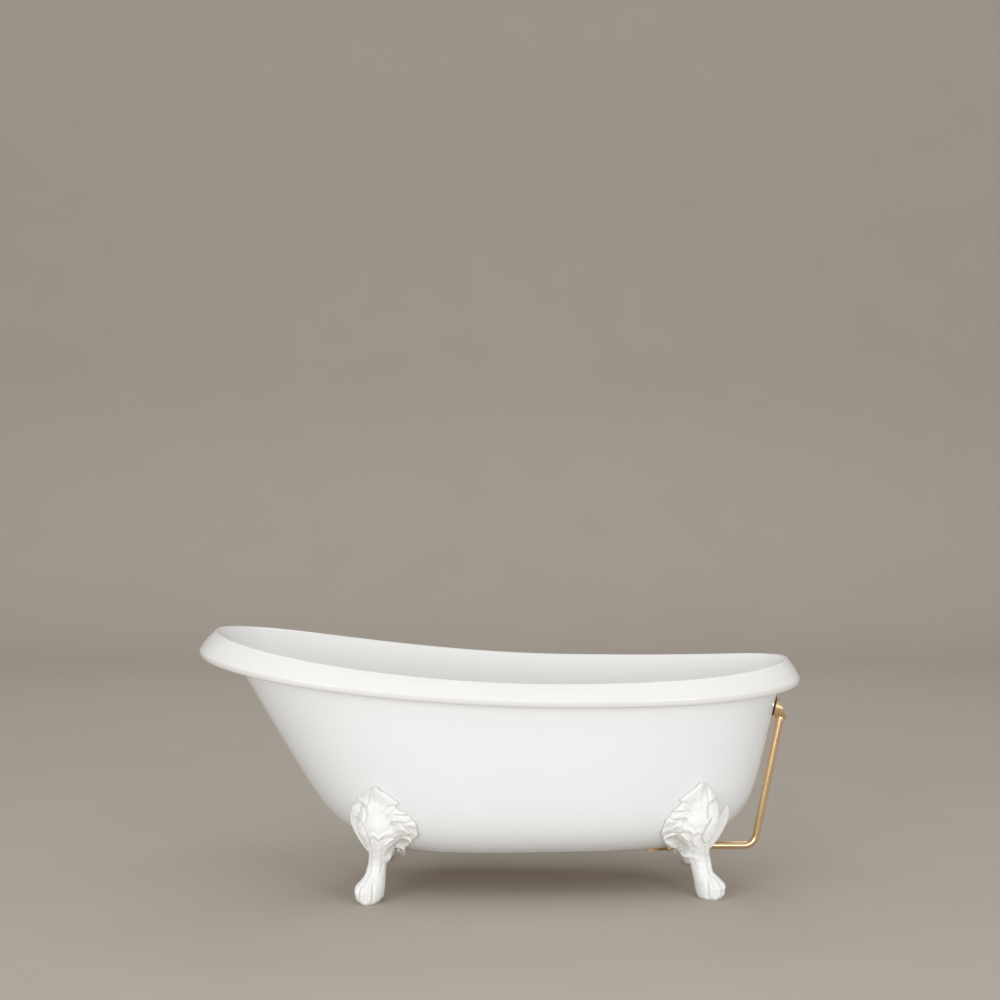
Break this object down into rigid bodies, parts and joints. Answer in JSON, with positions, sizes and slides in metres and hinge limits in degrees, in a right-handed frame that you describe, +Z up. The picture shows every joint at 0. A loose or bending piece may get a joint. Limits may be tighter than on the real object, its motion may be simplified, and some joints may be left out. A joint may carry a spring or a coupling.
{
  "type": "clawfoot bathtub",
  "caption": "Freestanding slipper bathtub with a rolled rim on ornate claw feet, with strainer waste, overflow pipe and a parked plug on a ball chain.",
  "frame": {"origin": "on the floor, under the middle of the rim's length and width", "axes": "+X along the bath from the raised head end to the tap end, +Z up, +Y to the far side as the picture looks at it"},
  "size_m": [1.7002, 0.8, 0.712],
  "materials": {
    "inner_acrylic": "gloss",
    "outer_acrylic": "gloss",
    "board": "matte",
    "foot_coating": "satin",
    "zinc_steel": "satin",
    "brass_insert": "satin",
    "rose_gold": "polished",
    "waste_casting": "satin",
    "black_rubber": "matte"
  },
  "bodies": {
    "bath": {"ball_chain": "rose_gold", "base_board": "board", "chain_anchor": "rose_gold", "chain_coupling_anchor": "rose_gold", "claw_foot_head_far": "foot_coating", "claw_foot_head_near": "foot_coating", "claw_foot_tap_far": "foot_coating", "claw_foot_tap_near": "foot_coating", "foot_block_head_far": "board", "foot_block_head_near": "board", "foot_block_tap_far": "board", "foot_block_tap_near": "board", "foot_bolts": "zinc_steel", "foot_inserts": "brass_insert", "foot_washers": "zinc_steel", "overflow_collar": "rose_gold", "overflow_elbow": "rose_gold", "overflow_inner_gasket": "black_rubber", "overflow_outer_gasket": "black_rubber", "overflow_packer": "black_rubber", "overflow_pipe": "rose_gold", "overflow_rosette": "rose_gold", "overflow_screw": "rose_gold", "pipe_nut": "rose_gold", "pipe_olive": "rose_gold", "strainer_screw": "rose_gold", "tub_inner_shell": "inner_acrylic", "tub_outer_skin": "outer_acrylic", "waste_body": "waste_casting", "waste_body_gasket": "black_rubber", "waste_flange": "rose_gold", "waste_top_gasket": "black_rubber"},
    "plug": {"plug_seal": "black_rubber", "plug_cap": "rose_gold", "plug_eye": "rose_gold", "chain_coupling_plug": "rose_gold"}
  },
  "joints": [
    {"name": "plug_lift", "type": "slide", "parent": "bath", "child": "plug", "axis": [-0.9773, 0, 0.2119], "range_m": [0, 0.04], "deforming": ["ball_chain"]}
  ]
}
